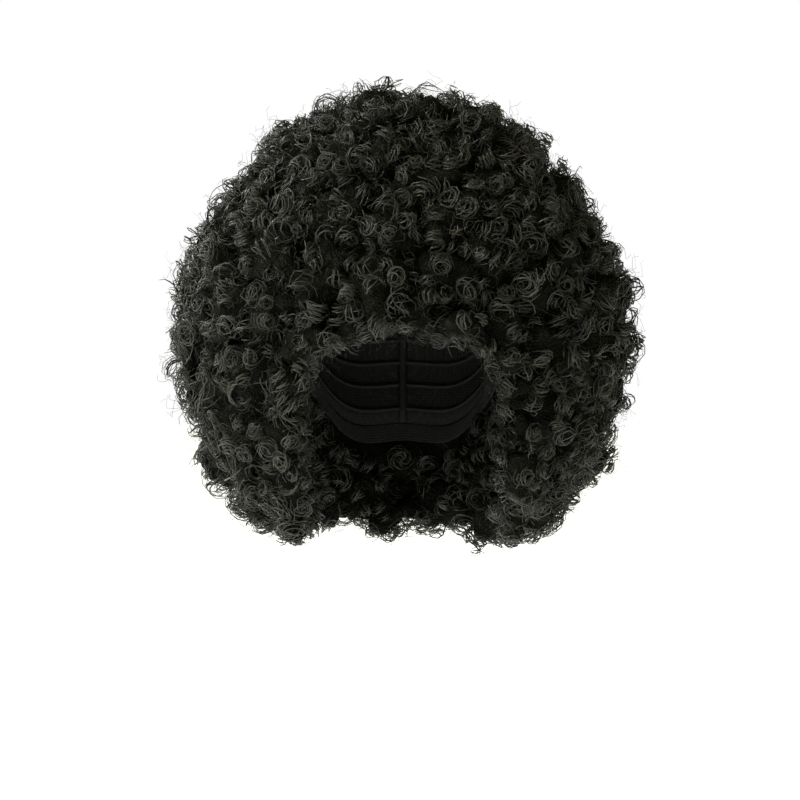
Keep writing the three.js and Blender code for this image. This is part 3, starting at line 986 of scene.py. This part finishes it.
def bandPiece():
    inner = wallGrid(bandTree, netEdge + capSize["seamGap"], bandEdge, capSize["bandRows"])
    inward = inwardOf(inner)
    share = np.linspace(0, 1, capSize["bandRows"])[:, None]
    ribs = np.cos(2 * math.pi * capSize["ribs"] * share) * capSize["ribRise"] * millimetre
    ribs = np.broadcast_to(ribs, inner.shape[:2])
    outer = inner - inward * (capSize["bandThickness"] * millimetre) - inward * ribs[..., None]
    inner = inner + inward * ribs[..., None]
    height = np.broadcast_to(share * capSize["bandWidth"], ribs.shape)
    length = np.broadcast_to(np.arange(len(azimuths)) * capSize["columnWidth"], ribs.shape)
    fibre = np.stack([height, length, np.zeros(ribs.shape)], axis=-1).reshape(-1, 3)
    mesh = shellMesh("elastic_band", inner, outer, {"fibre": np.concatenate([fibre, fibre])})
    elastic = tapeMaterial("woven elastic", (0.003, 0.003, 0.003), (0.016, 0.016, 0.015), 1.8)
    placePiece("elastic_band", mesh, elastic, ["edge_band"])


netInner, netInward = netPiece()
weftPiece(netInner, netInward)
bandPiece()
print("cap pieces made")


# Floor, light and camera

stage = {
    "floorDrop": 0.12, "floorSize": 40, "floorColour": (0.9, 0.9, 0.9), "floorGlow": 1.0,
    "backdrop": 1.0, "skyColour": (0.94, 1.0, 0.4), "sky": 0.19,
}
lamps = [
    # name, place, aimed at, size in m, power in W
    ("key", (-1.85, -0.85, 1.45), (0, 0, -0.1), 0.8, 97),
    ("fill", (1.6, -1.2, 0.4), (0, 0, -0.1), 1.0, 4),
    ("rim", (-1.4, 1.5, 1.0), (0, 0, -0.05), 0.8, 34),
]
white = (1.0, 1.0, 1.0, 1.0)


def addFloor():
    height = cadBox[0][2] - stage["floorDrop"]
    bpy.ops.mesh.primitive_plane_add(size=stage["floorSize"], location=(0, 0, height))
    floor = bpy.context.object
    floor.name = "floor"
    material, tree, shader = newMaterial("pale floor")
    feed(tree, shader.inputs["Base Color"], stage["floorColour"])
    shader.inputs["Roughness"].default_value = 0.9
    shader.inputs["Emission Color"].default_value = white
    shader.inputs["Emission Strength"].default_value = stage["floorGlow"]
    floor.data.materials.append(material)


def addLight(name, place, target, size, power):
    light = bpy.data.lights.new(name, "AREA")
    light.size = size
    light.energy = power
    lamp = bpy.data.objects.new(name, light)
    lamp.location = place
    lamp.rotation_euler = (Vector(target) - Vector(place)).to_track_quat("-Z", "Y").to_euler()
    scene.collection.objects.link(lamp)


photo = {"distance": 2.0, "fieldHeight": 0.544, "centre": (-0.002, 0.0, -0.136), "sensor": 36}


def addCamera():
    camera = bpy.data.cameras.new("camera")
    camera.sensor_width = photo["sensor"]
    camera.lens = photo["sensor"] * photo["distance"] / photo["fieldHeight"]
    body = bpy.data.objects.new("camera", camera)
    body.location = Vector(photo["centre"]) + Vector((0, -photo["distance"], 0))
    body.rotation_euler = (math.radians(90), 0, 0)
    scene.collection.objects.link(body)
    scene.camera = body


def addWorld():
    # the backdrop is white, and lights the hair more softly than it shows
    world = bpy.data.worlds.new("studio")
    world.use_nodes = True
    tree = world.node_tree
    shown = tree.nodes["Background"]
    shown.inputs["Color"].default_value = white
    shown.inputs["Strength"].default_value = stage["backdrop"]
    lighting = tree.nodes.new("ShaderNodeBackground")
    feed(tree, lighting.inputs["Color"], stage["skyColour"])
    lighting.inputs["Strength"].default_value = stage["sky"]
    rays = tree.nodes.new("ShaderNodeLightPath")
    mixed = tree.nodes.new("ShaderNodeMixShader")
    tree.links.new(rays.outputs["Is Camera Ray"], mixed.inputs["Fac"])
    tree.links.new(lighting.outputs["Background"], mixed.inputs[1])
    tree.links.new(shown.outputs["Background"], mixed.inputs[2])
    tree.links.new(mixed.outputs["Shader"], tree.nodes["World Output"].inputs["Surface"])
    scene.world = world


addFloor()
for lamp in lamps:
    addLight(*lamp)
addCamera()
addWorld()
scene.view_settings.view_transform = "Standard"
